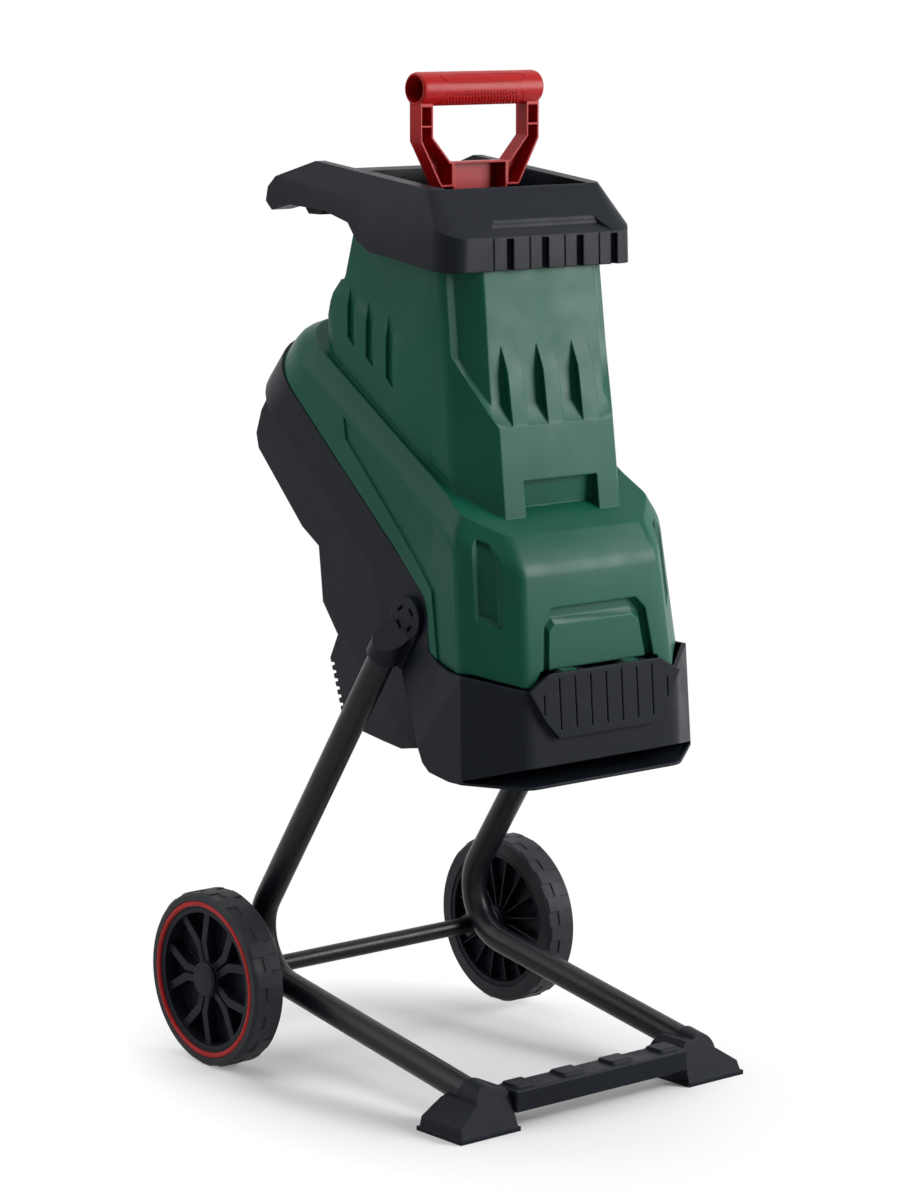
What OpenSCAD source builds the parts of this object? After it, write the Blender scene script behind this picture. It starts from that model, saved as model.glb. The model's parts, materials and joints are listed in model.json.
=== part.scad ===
// Electric garden shredder: a knife-disc shredder on a bent-tube stand with two wheels.
// Front (chute side) towards -Y, left is -X, +Z up, origin on the floor under the middle of the box.

/* [Stand] */
// Outside diameter of the leg tube
tube_d = 25; // [24:0.25:25.5]
// Wall thickness of the leg tube
tube_wall = 1.5; // [1:0.1:2]
// Distance from the middle plane to each leg
leg_x = 130; // [130:0.25:132]
// Centre-line radius of the bend in each leg
bend_r = 50; // [48:0.5:51]
// Slope of the lower leg towards the foot, degrees
lower_slope = 9.73; // [9:0.1:10]
// Slope of the upper leg, degrees from level
upper_slope = 55.9; // [55.5:0.1:56.5]
// Height of the foot rail
rail_h = 20; // [16:0.5:22]

/* [Wheels] */
// Outside diameter of the wheel
wheel_d = 165; // [160:1:166]
// Width of the wheel
wheel_w = 33; // [30:0.5:34]
// Diameter of the axle
axle_d = 10; // [8:0.5:10]
// Pairs of spokes in each wheel
spoke_pairs = 5; // [4:1:6]
// Tread blocks round each half of the tyre
tread_count = 18; // [12:1:20]

/* [Housing] */
// Slope of the joint between the green and the black housing, degrees
split_tilt = 41; // [40.5:0.1:41.5]
// Wall thickness of the housings
wall = 3; // [2.5:0.1:3.5]
// Gap between the two housings along the joint
joint_gap = 0.8; // [0.6:0.1:1.2]

/* [Cutter] */
// Radius of the knife disc
disc_r = 100; // [92:1:102]
// Thickness of the knife disc
disc_t = 5; // [4:0.5:6]
// Length of each knife
knife_l = 62; // [54:1:64]

/* [Drive] */
// Radius of the stator
stator_r = 46; // [44:0.5:46]
// Cooling slots in the motor cover
vent_count = 7; // [5:1:8]

/* [Hopper] */
// Width of the feed throat
throat_w = 92; // [84:1:94]
// Depth of the feed throat, front to back
throat_l = 44; // [42:1:46]
// Outside diameter of the pusher grip
grip_d = 30; // [28:0.5:30]
// Length of the pusher grip
grip_l = 141; // [136:1:142]

/* [Hidden] */
$fn = 64;
far = 400;

// Colours
black_plastic = "#25272b";
green_plastic = "#1c5a40";
red_plastic = "#a8242a";
black_tube = "#1b1c1f";
tyre_black = "#202125";
steel = "#b9bcc0";
copper = "#b4683c";

// Stand
bend_y = 73.9;
bend_z = 125.2;
axle_y = 130.5;
axle_z = wheel_d / 2;
lower_end_angle = lower_slope - 90;
upper_end_angle = 90 - upper_slope;
lower_leg_l = 276;
upper_leg_l = 317;
bracket_reach = 350;
wheel_x = 162.5;
hub_x = 160.5;
foot_in = 102;
foot_out = 171;
foot_front = -213;
foot_back = -152;
rail_z = 15;
rail_front = -209;
rail_depth = 29;
foot_screw_y = -172;

// Joint plane between the housings: local x across, y up the slope, z out of the joint towards the hopper
split_y = -101;
split_z = 463;

// Drive, depths measured from the joint plane down into the motor bulge
spindle_s = 59;
gear_module = 1.5;
pinion_teeth = 12;
gear_teeth = 40;
motor_gap = gear_module * (pinion_teeth + gear_teeth) / 2;
motor_s = spindle_s - motor_gap;
floor_top = 35;
floor_low = 39;
gear_top = 52;
gear_t = 12;
plate_top = 70;
plate_t = 10;
stator_top = 100;
stator_l = 52;
cover_d = 162;
fit = 0.05;
running = 0.4;

// Hinge of the hopper, along X behind the ribbed tab of the chute
hinge_y = -198.5;
hinge_z = 399.5;
hinge_pin_r = 2;
barrel_r = 4.5;

// Joint between black and green, seen from the side, from the rear to the front
joint_line = [
    [148, 679.5], [split_y, split_z], [-107, 450], [-112, 417],
    [-129, 409], [-145, 405], [-168, 403.5], [-230, 377.8]
];

// Helpers
function arc(cx, cy, r, a0, a1, n) =
    [for (i = [0:n]) let (a = a0 + (a1 - a0) * i / n) [cx + r * cos(a), cy + r * sin(a)]];
function both_sides(p) = concat(p, [for (i = [len(p) - 1:-1:0]) [-p[i][0], p[i][1]]]);
function both_sides3(p) = concat(p, [for (i = [len(p) - 1:-1:0]) [-p[i][0], p[i][1], p[i][2]]]);
// Points that round the corner b between a and c, starting at distance d from it
function soft(a, b, c, d, n) =
    let (p = b + (a - b) * d / norm(a - b), q = b + (c - b) * d / norm(c - b))
    [for (i = [0:n]) let (t = i / n) (1 - t) * (1 - t) * p + 2 * t * (1 - t) * b + t * t * q];
// Rings that round the edge along ring b of a loft, between the rings a and c
function soft_rings(a, b, c, d, n) =
    let (r = [for (i = [0:len(b) - 1]) soft(a[i], b[i], c[i], d, n)])
    [for (k = [0:n]) [for (q = r) q[k]]];
function raised(p, z) = [for (q = p) [q[0], q[1], z]];
function leaned(p, z, lean, z_ref) = [for (q = p) [q[0], q[1] + lean * (z - z_ref), z]];

// Solid through a stack of rings that have the same number of points
module loft(rings) {
    n = len(rings[0]);
    m = len(rings);
    polyhedron(
        points = [for (r = rings) each r],
        faces = concat(
            [[for (i = [0:n - 1]) i]],
            [[for (i = [n - 1:-1:0]) (m - 1) * n + i]],
            [for (k = [0:m - 2]) for (i = [0:n - 1]) let (j = (i + 1) % n)
                each [[k * n + i, (k + 1) * n + i, (k + 1) * n + j], [k * n + i, (k + 1) * n + j, k * n + j]]]
        )
    );
}
// Side profile in (y, z), extruded across the machine
module across(half_w, pts) {
    rotate([90, 0, 90]) linear_extrude(2 * half_w, center = true) polygon(pts);
}
// Front profile in (x, z), extruded from y0 to y1
module frontal(y0, y1, pts) {
    translate([0, y1, 0]) rotate([90, 0, 0]) linear_extrude(y1 - y0) polygon(pts);
}
module tilted() {
    translate([0, split_y, split_z]) rotate([split_tilt, 0, 0]) children();
}
// Frame of the spindle or motor: z runs down from the joint plane, y runs down the slope
module drive_axis(s) {
    tilted() translate([0, s, 0]) rotate([180, 0, 0]) children();
}
module pair() {
    children();
    mirror([1, 0, 0]) children();
}
module ring(r_out, r_in, z0, z1) {
    difference() {
        translate([0, 0, z0]) cylinder(r = r_out, h = z1 - z0);
        translate([0, 0, z0 - 1]) cylinder(r = r_in, h = z1 - z0 + 2);
    }
}
// Pan-head screw with its head on z = 0 and its shank along +z
module screw(head_r, head_h, shank_r, l) {
    translate([0, 0, -head_h]) cylinder(r = head_r, h = head_h);
    cylinder(r = shank_r, h = l);
}

// Stand
// Path of one leg as a solid: the straights of radius r lap 1 mm into the bend of radius bend_tube_r
module leg_solid(r, bend_tube_r, extra) {
    lap = 1;
    translate([leg_x, bend_y, bend_z]) rotate([90, 0, 90]) {
        rotate([0, 0, lower_end_angle])
            rotate_extrude(angle = upper_end_angle - lower_end_angle)
            translate([bend_r, 0]) circle(r = bend_tube_r);
        rotate([0, 0, lower_end_angle]) translate([bend_r, lap, 0])
            rotate([90, 0, 0]) cylinder(r = r, h = lower_leg_l + extra + lap);
        rotate([0, 0, upper_end_angle]) translate([bend_r, -lap, 0])
            rotate([-90, 0, 0]) cylinder(r = r, h = upper_leg_l + extra + lap);
    }
}
module leg_tube() {
    color(black_tube) difference() {
        leg_solid(tube_d / 2, tube_d / 2 - 0.05, 0);
        leg_solid(tube_d / 2 - tube_wall, tube_d / 2 - tube_wall + 0.05, 1);
    }
}
module left_leg_tube() { mirror([1, 0, 0]) leg_tube(); }
module right_leg_tube() { leg_tube(); }

module along_axle(x0) {
    translate([x0, axle_y, axle_z]) rotate([0, 90, 0]) children();
}
module axle_tube() {
    lug_angle = atan2(axle_z - bend_z, axle_y - bend_y);
    lug_w = 20;
    lug_t = 8;
    half = hub_x - 3.5;
    color(black_tube) difference() {
        union() {
            along_axle(-half) cylinder(r = 8, h = 2 * half);
            pair() translate([leg_x, bend_y, bend_z]) rotate([90, 0, 90]) rotate([0, 0, lug_angle])
                translate([bend_r + 4, -lug_w / 2, -lug_t / 2]) cube([24, lug_w, lug_t]);
        }
        along_axle(-half - 1) cylinder(r = axle_d / 2 + 0.1, h = 2 * half + 2);
        pair() leg_solid(tube_d / 2, tube_d / 2, 0);
    }
}
module axle() {
    half = hub_x + 27;
    color(steel) along_axle(-half) cylinder(r = axle_d / 2, h = 2 * half);
}
module axle_washers() {
    color(steel) pair() along_axle(hub_x - 3.4) ring(9, axle_d / 2 + fit, 0, 3);
}
module axle_caps() {
    color(steel) pair() along_axle(hub_x + 24.5) ring(8, axle_d / 2, 0, 2);
}
module foot() {
    profile = [
        [foot_in + 1.5, 3.9], [foot_out - 2, 3.9], [foot_out - 3.5, 13], [foot_in + 26, 39],
        [foot_in + 9, 39], [foot_in + 3, 33]
    ];
    hump = [[foot_front + 2.2, 3.9], [foot_front + 18, 49], [foot_back, 56], [foot_back, 3.9]];
    side = [
        [foot_front + 2, 3.9], [foot_front + 15, 41], [foot_back - 14, 41], [foot_back - 4, 26],
        [foot_back - 2, 3.9]
    ];
    color(black_plastic) difference() {
        union() {
            translate([foot_in, foot_front, 0]) cube([foot_out - foot_in, foot_back - foot_front, 4]);
            intersection() {
                frontal(foot_front, foot_back, profile);
                across(far, side);
            }
            // Hump over the end of the tube
            intersection() {
                translate([leg_x, bend_y, bend_z]) rotate([90, 0, 90]) rotate([0, 0, lower_end_angle])
                    translate([bend_r, 0, 0]) rotate([90, 0, 0])
                    translate([0, 0, 262]) cylinder(r = tube_d / 2 + 2, h = 30);
                across(far, hump);
            }
        }
        leg_solid(tube_d / 2 + 0.05, tube_d / 2, 0);
        translate([leg_x, foot_screw_y, -1]) cylinder(r = 2.6, h = 20);
        translate([leg_x, foot_screw_y, -1]) cylinder(r = 6, h = 5);
    }
}
module left_foot() { mirror([1, 0, 0]) foot(); }
module right_foot() { foot(); }
module foot_rail() {
    half = foot_in + 1.4;
    pad_w = 24;
    top = rail_z + rail_h;
    color(black_plastic) difference() {
        union() {
            translate([-half, rail_front, rail_z]) cube([2 * half, rail_depth, rail_h]);
            for (x = [-87, -29, 29, 87])
                across_at(x, pad_w / 2 - (abs(x) > 80 ? 1 : 0), [
                    [rail_front + 5, top], [rail_front + 8, top + 3],
                    [rail_front + rail_depth - 3, top + 3], [rail_front + rail_depth, top]
                ]);
        }
        // Hollow underside
        translate([-half + 3, rail_front + 3, rail_z - 1]) cube([2 * half - 6, rail_depth - 6, rail_h - 2]);
    }
}
module across_at(x, half_w, pts) {
    translate([x, 0, 0]) across(half_w, pts);
}
module foot_screws() {
    color(steel) pair() translate([leg_x, foot_screw_y, 3.8]) screw(5.5, 3, 2.5, 12);
}

// Bracket that ties the upper end of a leg to the side of the lower housing
module leg_bracket() {
    disc_r2 = 19.5;
    tail_l = 44;
    inner = 117.4;
    outer = 125;
    bolt_r = 3.1;
    place = [0, bend_y, bend_z];
    low = bracket_reach - tail_l;
    color(black_plastic) difference() {
        union() {
            translate(place) rotate([90, 0, 90]) rotate([0, 0, upper_end_angle]) translate([bend_r, 0, 0]) {
                translate([0, bracket_reach, inner]) cylinder(r = disc_r2, h = outer - inner);
                translate([-disc_r2, low, inner]) cube([2 * disc_r2, tail_l, outer - inner - 1.6]);
                // Socket of the tube, which runs out into the plate at a slant
                intersection() {
                    translate([0, low, leg_x]) rotate([-90, 0, 0]) cylinder(r = tube_d / 2 + 3.2, h = tail_l);
                    across(far, [
                        [low, inner], [bracket_reach - 12, inner], [bracket_reach - 12, outer], [low + 12.5, 146],
                        [low, 146]
                    ]);
                }
            }
        }
        leg_solid(tube_d / 2 + 0.05, tube_d / 2, 0.5);
        translate(place) rotate([90, 0, 90]) rotate([0, 0, upper_end_angle])
            translate([bend_r, bracket_reach, 0]) {
                // Four slots in a ring on the outer face
                for (a = [0:90:270]) rotate([0, 0, a + 20]) translate([8.8, -4, outer - 3]) cube([3.2, 8, 12]);
                translate([0, 0, inner - 1]) cylinder(r = bolt_r, h = 7.6);
                translate([disc_r2 - 7, 7 - tail_l, leg_x + 3]) cylinder(r = 1.8, h = 15);
            }
    }
}
module left_leg_bracket() { mirror([1, 0, 0]) leg_bracket(); }
module right_leg_bracket() { leg_bracket(); }
module bracket_bolts() {
    color(steel) pair() translate([0, bend_y, bend_z]) rotate([90, 0, 90]) rotate([0, 0, upper_end_angle])
        translate([bend_r, bracket_reach, 112.6]) screw(6, 4, 3, 11);
}

// Wheels, drawn on the right: local z runs outwards along the axle from the inner face
module wheel_frame() {
    translate([wheel_x, axle_y, axle_z]) rotate([0, 90, 0]) children();
}
wheel_r = wheel_d / 2;
rim_r = wheel_r - 14.5;
module tyre() {
    edge = 3;
    color(tyre_black) wheel_frame() difference() {
        rotate_extrude() polygon([
            [rim_r, 0], [wheel_r - edge, 0], [wheel_r, edge], [wheel_r, wheel_w - edge],
            [wheel_r - edge, wheel_w], [rim_r + 6, wheel_w], [rim_r + 6, wheel_w - 2], [rim_r, wheel_w - 2]
        ]);
        // Low blocks, staggered on the two halves of the tread
        for (i = [0:tread_count - 1]) {
            rotate([0, 0, 360 * i / tread_count]) translate([wheel_r - 1.2, -7, -1])
                cube([4, 14, 0.4 * wheel_w + 1]);
            rotate([0, 0, 360 * (i + 0.5) / tread_count]) translate([wheel_r - 1.2, -7, 0.6 * wheel_w])
                cube([4, 14, 0.4 * wheel_w + 1]);
        }
    }
}
module rim() {
    web_z = 12;
    web_t = 3;
    spoke_top = wheel_w - 6;
    rib_count = 16;
    color(black_plastic) wheel_frame() difference() {
        union() {
            rotate_extrude() polygon([
                [axle_d / 2 + fit, hub_x - wheel_x], [14, hub_x - wheel_x], [14, web_z], [rim_r - 5, web_z],
                [rim_r - 5, 1], [rim_r - 0.05, 1], [rim_r - 0.05, wheel_w - 2], [rim_r - 5, wheel_w - 2],
                [rim_r - 6.5, web_z + web_t], [17, web_z + web_t], [17, wheel_w - 4], [11, wheel_w - 4],
                [11, 21], [axle_d / 2 + fit, 21]
            ]);
            for (i = [0:spoke_pairs - 1]) rotate([0, 0, 360 * i / spoke_pairs + 90])
                translate([0, 0, web_z + 1]) linear_extrude(spoke_top - web_z - 1) {
                    spoke_arm();
                    mirror([0, 1]) spoke_arm();
                }
            for (i = [0:rib_count - 1]) rotate([0, 0, 360 * (i + 0.5) / rib_count])
                translate([13, -0.8, 4]) cube([rim_r - 17, 1.6, web_z - 3]);
        }
        translate([0, 0, 20]) cylinder(r = 11, h = 30);
    }
}
// One kinked arm of a spoke pair
module spoke_arm() {
    polygon([
        [14, 1.1], [36, 1.1], [rim_r - 9, 14], [rim_r - 4, 14], [rim_r - 4, 22.5], [rim_r - 11, 22],
        [33, 8.6], [14, 7.2]
    ]);
}
module trim_ring() {
    inner = rim_r + 1;
    outer = rim_r + 5.9;
    color(red_plastic) wheel_frame() translate([0, 0, wheel_w - 1.9]) rotate_extrude()
        polygon([[inner, 0], [outer, 0], [outer, 1.2], [outer - 1.4, 2.6], [inner + 1.4, 2.6], [inner, 1.2]]);
}
module hub_cap() {
    color(black_plastic) wheel_frame() translate([0, 0, wheel_w - 3.9]) rotate_extrude()
        polygon([
            [0, 0], [9, 0], [9, -2], [10.8, -2], [10.8, 0], [16.5, 0], [16.5, 2.4], [14.5, 4], [0, 4.6]
        ]);
}
module left_tyre() { mirror([1, 0, 0]) tyre(); }
module left_rim() { mirror([1, 0, 0]) rim(); }
module left_trim_ring() { mirror([1, 0, 0]) trim_ring(); }
module left_hub_cap() { mirror([1, 0, 0]) hub_cap(); }
module right_tyre() { tyre(); }
module right_rim() { rim(); }
module right_trim_ring() { trim_ring(); }
module right_hub_cap() { hub_cap(); }

// Lower housing
// Outline of the black band in the joint plane, inset by t, right half from the front to the rear
function band_outline(t) = both_sides(concat(
    [[142 - t, -260], [137.6 - t, -159], [134.4 - t, -90], [127 - t, -55], [121.5 - t, -25], [117.6 - t, 5],
        [117 - t, 30]],
    arc(52, 257, 65 - t, 0, 90, 9)
));
// Plan of the chute's front with its slanted corners, inset by t
function chute_plan(t) =
    let (a = [89 - t * 0.7, -206 + t], b = [136 - t * 0.4, -171 + t * 1.2], c = [190, -130])
    both_sides(concat(soft([0, a[1]], a, b, 9, 3), soft(a, b, c, 9, 3), [c, [190, 300]]));
module chute_front(t) {
    lean = 0.075;
    loft([leaned(chute_plan(t), 250, lean, 355), leaned(chute_plan(t), 720, lean, 355)]);
}
// Side profile of the band, side wall and chute
function housing_side() = concat(joint_line, [
    [-240, 322], [-240, 300.5], [-178, 306], [-148, 310], [-127, 313], [-117, 320], [-111, 331], [-68, 399],
    [-38, 430], [-29, 452], [-23.2, 480.2], [173, 650.8]
]);
// Profile of the motor bulge in (slope, depth)
bulge_line = [
    [306, 30], [306, 81], [299, 105], [288, 114], [194, 122], [165, 117], [144, 139], [129, 155],
    [96, cover_d],
    [-45, cover_d], [-58, 146], [-69, 131], [-69, 84], [10, 30]
];
bulge_hollow = [
    [302.5, floor_low], [302.5, 80], [295.7, 102.8], [286, 110.6], [194, 118.5], [163.8, 113.2],
    [141.8, 136.2],
    [127.6, 151.7], [92.5, 158.7], [92.5, 175], [-41.5, 175], [-41.5, 160], [-54.8, 144.6], [-65.5, 129.8],
    [-65.5, 96], [-17, 76], [6, 66], [6, floor_low]
];
function depth_side(p) = [for (q = p) [q[0], -q[1]]];
module bulge_body(pts, top_w, low_w) {
    tilted() intersection() {
        across(far, depth_side(pts));
        translate([0, 350, 0]) rotate([90, 0, 0]) linear_extrude(450)
            polygon([[-top_w, -30], [-low_w, -230], [low_w, -230], [top_w, -30]]);
    }
}
tab_back = -203.7;
ear_x = [[46, 6], [21.4, 6]];
module lower_housing() {
    pillar = [[44, -8], [44, 34]];
    color(black_plastic) difference() {
        union() {
            difference() {
                union() {
                    intersection() {
                        tilted() translate([0, 0, -260]) linear_extrude(290) polygon(band_outline(0));
                        across(far, housing_side());
                        chute_front(0);
                    }
                    bulge_body(bulge_line, 86, 71.3);
                }
                // Knife chamber above the floor
                intersection() {
                    tilted() translate([0, 0, -floor_top]) linear_extrude(80) polygon(band_outline(wall + 1));
                    tilted() translate([-far, 1.2, -floor_top]) cube([2 * far, far, 80]);
                }
                // Chute from the chamber down to the mouth
                intersection() {
                    tilted() translate([0, 0, -260]) linear_extrude(320) polygon(band_outline(wall + 1));
                    across(far, [
                        [-196, 470], [-240, 440], [-240, 303.2], [-178, 308.4], [-148, 312.4], [-127, 316],
                        [-115, 335], [-75, 398], [-62, 420], [-77, 437.4], [-113, 479]
                    ]);
                    chute_front(wall);
                }
                // Mouth at the foot of the front wall and of its slanted corners
                intersection() {
                    frontal(-260, -166, both_sides([
                        [95, 300], [95, 305.9], [136, 311], [136, 313], [90, 322]
                    ]));
                    across(far, [[-260, 301.5], [-178, 308.4], [-140, 312], [-140, 340], [-260, 340]]);
                }
                pair() frontal(-260, -100, [[95, 303.4], [150, 310.8], [150, 280], [95, 280]]);
                bulge_body(bulge_hollow, 82.5, 67.8);
            }
            // Ribbed panel on the front wall, the tab above it and the ears of the hopper hinge behind the tab
            intersection() {
                frontal(-215, -196, panel_outline);
                union() {
                    panel_slab(330, 389, -203.4);
                    panel_slab(385, 420, tab_back - 1);
                }
            }
            pair() for (e = ear_x) translate([e[0], tab_back - 1, 384])
                cube([e[1], hinge_y + barrel_r - tab_back + 1, hinge_z + 4 - 384]);
            // Boss of the upper spindle bearing and pillars for the gear plate
            drive_axis(spindle_s) translate([0, 0, 30]) cylinder(r = 22, h = 18);
            drive_axis(spindle_s) pair() for (p = pillar)
                translate([p[0], p[1], floor_low - 1]) cylinder(r = 6, h = plate_top - floor_low + 1);
            // Boss that takes the stud of the locking knob
            tilted() translate([0, lock_s, -floor_top - 1]) cylinder(r = 10, h = floor_top - 2);
        }
        // Relief behind the upper corners of the tab, where the edge of the hopper swings past
        pair() across_at(68, 8, [[-206.9, 404], [-203, 398.5], [-203, 404]]);
        // Grooves between the ribs of the tab
        for (i = [-4:4]) let (edge = abs(i) == 4)
            translate([i * 18.3, 0, edge ? 368 : 353]) panel_groove(edge ? 18 : 46);
        drive_axis(spindle_s) translate([0, 0, 25]) cylinder(r = 9.5, h = 40);
        drive_axis(spindle_s) translate([0, 0, 34]) cylinder(r = 17.5, h = 40);
        drive_axis(spindle_s) pair() for (p = pillar)
            translate([p[0], p[1], plate_top - 18]) cylinder(r = 2.6, h = 30);
        tilted() translate([0, lock_s, -floor_top + 4]) cylinder(r = 5.6, h = 60);
        translate([-60, hinge_y, hinge_z]) rotate([0, 90, 0]) cylinder(r = hinge_pin_r + fit, h = 120);
        // Holes of the leg brackets
        pair() translate([0, bend_y, bend_z]) rotate([90, 0, 90]) rotate([0, 0, upper_end_angle])
            translate([bend_r, bracket_reach, 100]) cylinder(r = 3.1, h = 40);
        // Flat seats of the leg brackets
        pair() translate([0, bend_y, bend_z]) rotate([90, 0, 90]) rotate([0, 0, upper_end_angle]) {
            translate([bend_r, bracket_reach, 117.2]) cylinder(r = 20.2, h = 30);
            translate([bend_r - 20.2, bracket_reach - 90, 117.2]) cube([40.4, 90, 30]);
        }
        // Window of the switch panel in the upper end of the bulge
        tilted() translate([-panel_w / 2 - 0.2, 290, -panel_d1 - 0.2])
            cube([panel_w + 0.4, 40, panel_d1 - panel_d0 + 0.4]);
        tilted() pair() for (s = cover_screw_s) translate([cover_screw_x, s, -cover_d + 14])
            rotate([180, 0, 0]) cylinder(r = 2.1, h = 20);
    }
}
panel_outline = both_sides([[57, 346], [72, 362], [89, 390], [66, 403.4]]);
// Slab parallel to the leaning front wall, from height z0 to z1, with its back at y = back where z is 390
module panel_slab(z0, z1, back) {
    plan = both_sides([[95, -208.8], [95, back]]);
    loft([leaned(plan, z0, 0.075, 390), leaned(plan, z1, 0.075, 390)]);
}
lock_s = 297;
panel_w = 120;
panel_d0 = 42;
panel_d1 = 78;
cover_screw_x = 66.5;
cover_screw_s = [84, -30];

module panel_groove(l) {
    translate([-0.8, -209.4 + 1.5, 0]) rotate([-4.3, 0, 0]) translate([0, -12, 0]) cube([1.6, 12, l]);
}

// Motor cover with its row of cooling slots
vent_from = [91, 192];
vent_to = [46, 222];
vent_dir = (vent_to - vent_from) / norm(vent_to - vent_from);
vent_in = [-vent_dir[1], vent_dir[0]];
vent_pitch = norm(vent_to - vent_from) / vent_count;
// Serrated corner of the cover: one tooth and one gap for each cooling slot
vent_teeth = [
    for (i = [0:vent_count - 1]) each [
        for (q = [[0, 0], [0.54, 0], [0.66, 5], [0.92, 5]])
            vent_from + vent_dir * (i + q[0]) * vent_pitch + vent_in * q[1]
    ]
];
cover_line = concat(
    [[96, cover_d + 0.3]], vent_teeth,
    [vent_to, [20, 213], [-11, 192], [-35, 175], [-45, cover_d + 0.3]]
);
cover_hollow = [
    [92.5, cover_d - 5], [84, 182], [74, 197.5], [43, 211.5], [21.5, 207.4], [-9, 188.8], [-32.5, 172],
    [-41.5, cover_d - 5]
];
module motor_cover() {
    color(black_plastic) difference() {
        union() {
            difference() {
                bulge_body(cover_line, 86, 68.7);
                bulge_body(cover_hollow, 82.5, 65.2);
            }
            // Carrier of the rear motor bearing
            intersection() {
                union() {
                    drive_axis(motor_s) translate([0, 0, 180]) cylinder(r = 17, h = 40);
                    drive_axis(motor_s) translate([-80, -2, 184]) cube([160, 4, 40]);
                }
                bulge_body(cover_line, 86, 68.7);
            }
            tilted() pair() for (s = cover_screw_s) translate([cover_screw_x - 1, s, -cover_d - 12])
                cylinder(r = 5.5, h = 11.7);
        }
        drive_axis(motor_s) translate([0, 0, 170]) cylinder(r = 13, h = 22);
        // Openings at the bottom of the slots
        tilted() for (i = [0:vent_count - 1]) let (q = vent_from + vent_dir * (i + 0.75) * vent_pitch)
            translate([0, q[0], -q[1]]) rotate([atan2(vent_dir[0], vent_dir[1]) + 180, 0, 0])
            translate([-50, -1.1, -20]) cube([100, 2.2, 20]);
        tilted() pair() for (s = cover_screw_s) translate([cover_screw_x - 1, s, -cover_d - 30])
            cylinder(r = 2.3, h = 40);
        tilted() pair() for (s = cover_screw_s) translate([cover_screw_x - 1, s, -cover_d - 40])
            cylinder(r = 4.6, h = 32);
    }
}
module cover_screws() {
    color(steel) tilted() pair() for (s = cover_screw_s) translate([cover_screw_x - 1, s, -cover_d - 8.1])
        screw(4, 2.5, 2, 16);
}

// Controls in the upper end of the bulge, local z runs out of the panel up the slope
module on_panel(x, d) {
    tilted() translate([x, 303, -d]) rotate([-90, 0, 0]) children();
}
panel_mid = (panel_d0 + panel_d1) / 2;
button_w = 16;
on_x = -34;
off_x = -12;
reset_x = 14;
inlet_x = 40;
module switch_panel() {
    hole = button_w + 2 * running;
    color(black_plastic) difference() {
        union() {
            on_panel(0, panel_mid) translate([-panel_w / 2, -(panel_d1 - panel_d0) / 2, -3])
                cube([panel_w, panel_d1 - panel_d0, 5]);
            // Raised surround of the two buttons and switch body behind them
            on_panel((on_x + off_x) / 2, panel_mid) translate([-24, -14, 0]) cube([48, 28, 4.5]);
            on_panel((on_x + off_x) / 2, panel_mid) translate([-23, -13, -24]) cube([46, 26, 22]);
            on_panel(reset_x, panel_mid) translate([0, 0, -3]) cylinder(r = 9, h = 7);
        }
        for (x = [on_x, off_x]) on_panel(x, panel_mid)
            translate([-hole / 2, -hole / 2, -10]) cube([hole, hole, 30]);
        on_panel(reset_x, panel_mid) translate([0, 0, -10]) cylinder(r = 5.5 + running, h = 30);
        on_panel(inlet_x, panel_mid) translate([-15.1, -12.1, -10]) cube([30.2, 24.2, 30]);
    }
}
module push_button(x) {
    on_panel(x, panel_mid) translate([-button_w / 2, -button_w / 2, -4]) cube([button_w, button_w, 11.5]);
}
module on_button() { color("#2f8a4a") push_button(on_x); }
module off_button() { color(red_plastic) push_button(off_x); }
module reset_button() {
    color("#3a3c40") on_panel(reset_x, panel_mid) translate([0, 0, -3]) cylinder(r = 5.5, h = 9.5);
}
module power_inlet() {
    color(black_plastic) on_panel(inlet_x, panel_mid) {
        difference() {
            translate([-15, -12, -22]) cube([30, 24, 26]);
            translate([-12.5, -9.5, -18]) cube([25, 19, 40]);
        }
        for (x = [-7, 0, 7]) translate([x - 1, -2.5, -19]) cube([2, 5, 15]);
    }
}
module capacitor() {
    color("#c8b64a") tilted() translate([-12, 234, -111]) cube([24, 34, 18]);
}
module interlock_switch() {
    color("#3a3c40") tilted() difference() {
        translate([52, 284, -floor_top + 0.1]) cube([14, 26, 20]);
        translate([56.5, 293, -floor_top + 8]) cube([5, 8, 20]);
    }
}

// Motor and gear
function tooth_ring(z, m) = let (p = 360 / z, r = m * z / 2) [
    for (i = [0:z - 1]) each [
        for (q = [[r - 1.25 * m, -0.31], [r, -0.225], [r + 0.92 * m, -0.1],
                  [r + 0.92 * m, 0.1], [r, 0.225], [r - 1.25 * m, 0.31]])
            [q[0] * cos((i + q[1]) * p), q[0] * sin((i + q[1]) * p)]
    ]
];
module gear_plate() {
    color("#a9adb2") drive_axis(spindle_s) difference() {
        translate([0, 0, plate_top]) linear_extrude(plate_t)
            polygon([[-52, -24], [-44, -32], [44, -32], [52, -24], [52, 50], [44, 57], [-44, 57], [-52, 50]]);
        translate([0, 0, plate_top - 1]) cylinder(r = 14, h = 9);
        translate([0, 0, plate_top - 1]) cylinder(r = 8, h = 20);
        translate([0, motor_gap, plate_top - 1]) cylinder(r = 14, h = 9);
        translate([0, motor_gap, plate_top - 1]) cylinder(r = 10, h = 20);
        pair() for (y = [-8, 34]) translate([44, y, plate_top - 1]) cylinder(r = 2.6, h = 20);
        for (a = stator_screw_a) translate([0, motor_gap, plate_top - 1])
            rotate([0, 0, a]) translate([42, 0, 0])
            cylinder(r = 2.6, h = 20);
    }
}
stator_screw_a = [20, 200];
module gear_plate_screws() {
    color(steel) drive_axis(spindle_s) pair() for (y = [-8, 34])
        translate([44, y, plate_top + plate_t + 0.1]) rotate([180, 0, 0]) screw(4.5, 3, 2.5, 24);
}
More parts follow.
